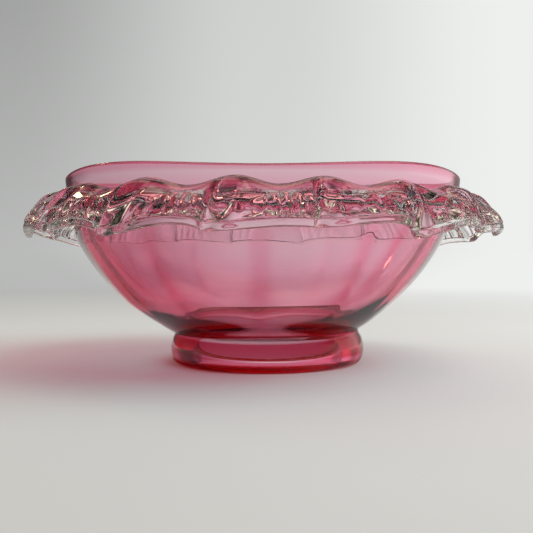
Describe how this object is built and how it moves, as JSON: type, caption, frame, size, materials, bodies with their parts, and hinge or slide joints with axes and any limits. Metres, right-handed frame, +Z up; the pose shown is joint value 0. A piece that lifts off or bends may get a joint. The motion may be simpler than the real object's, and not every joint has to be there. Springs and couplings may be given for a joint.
{
  "type": "glass bowl",
  "caption": "Footed round glass bowl of clear-cased ruby glass, with soft upright panels, a gently wavy rim and a crimped clear frill under it.",
  "frame": {"origin": "on the resting plane, under the bowl's axis", "axes": "+Z up along the bowl's axis; -Y is the side that faces the viewer in the picture, +X is to the viewer's right"},
  "size_m": [0.1604, 0.1604, 0.0626],
  "materials": {
    "clear_glass": "clear blown glass, fire polished, with soft optic panels",
    "ruby_glass": "thin transparent gold-ruby glass, smooth",
    "foot_glass": "clear tooled glass that carries the bowl's ruby reflections",
    "frill_glass": "clear trailed glass, crimped into ribbed lobes, fire polished"
  },
  "bodies": {
    "root": {"clear_casing": "clear_glass", "ruby_lining": "ruby_glass", "foot_ring": "foot_glass", "frill_trail": "frill_glass"}
  },
  "joints": []
}
